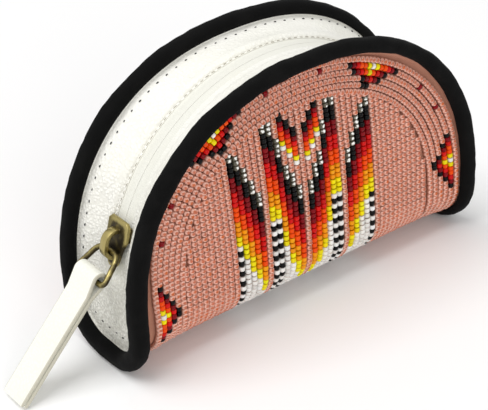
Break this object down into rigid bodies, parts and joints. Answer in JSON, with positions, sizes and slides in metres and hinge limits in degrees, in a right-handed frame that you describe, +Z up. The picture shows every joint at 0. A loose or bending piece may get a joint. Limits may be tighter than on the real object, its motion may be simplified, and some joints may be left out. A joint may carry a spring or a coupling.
{
  "type": "beaded coin purse",
  "caption": "Coin purse folded from an oval beaded panel, with a soft black binding, a white leather gusset and a curved zip with a ring and a leather pull tab.",
  "frame": {"origin": "on the floor, at the bottom centre of the bounding box of the purse and its hanging pull tab", "axes": "+X along the purse away from the zip slider's resting end, +Z up, -Y out of the front face"},
  "size_m": [0.1552, 0.0388, 0.0807],
  "materials": {
    "salmon_backing": "plain woven cloth",
    "tan_lining": "plain woven cloth",
    "salmon_beads": "glossy opaque glass beads",
    "black_suede": "soft napped suede",
    "white_leather": "fine pebbled grain, satin",
    "white_tape": "woven tape",
    "white_nylon": "satin nylon coil",
    "old_brass": "dark worn plating with bright edges"
  },
  "bodies": {
    "purse": {"backing_panel": "salmon_backing", "pocket_lining": "tan_lining", "beadwork_border": "salmon_beads", "beadwork_field": "salmon_beads", "edge_binding": "black_suede", "gusset": "white_leather", "zip_tape_front": "white_tape", "zip_tape_rear": "white_tape", "zip_coil_front": "white_nylon", "zip_coil_rear": "white_nylon"},
    "slider": {"zip_slider": "old_brass"},
    "ring": {"pull_ring": "old_brass"},
    "tab": {"pull_tab": "white_leather"}
  },
  "joints": [
    {"name": "slider_travel", "type": "hinge", "parent": "purse", "child": "slider", "pos_m": [0.01452, 0, 0.019], "axis": [0, 1, 0], "range_deg": [0, 145.6]},
    {"name": "ring_swing", "type": "hinge", "parent": "slider", "child": "ring", "pos_m": [-0.04239, 0, 0.03468], "axis": [0, 1, 0], "range_deg": [-20, 120]},
    {"name": "tab_swing", "type": "hinge", "parent": "ring", "child": "tab", "pos_m": [-0.04945, 0, 0.0291], "axis": [0, 1, 0], "range_deg": [-12, 43]}
  ]
}
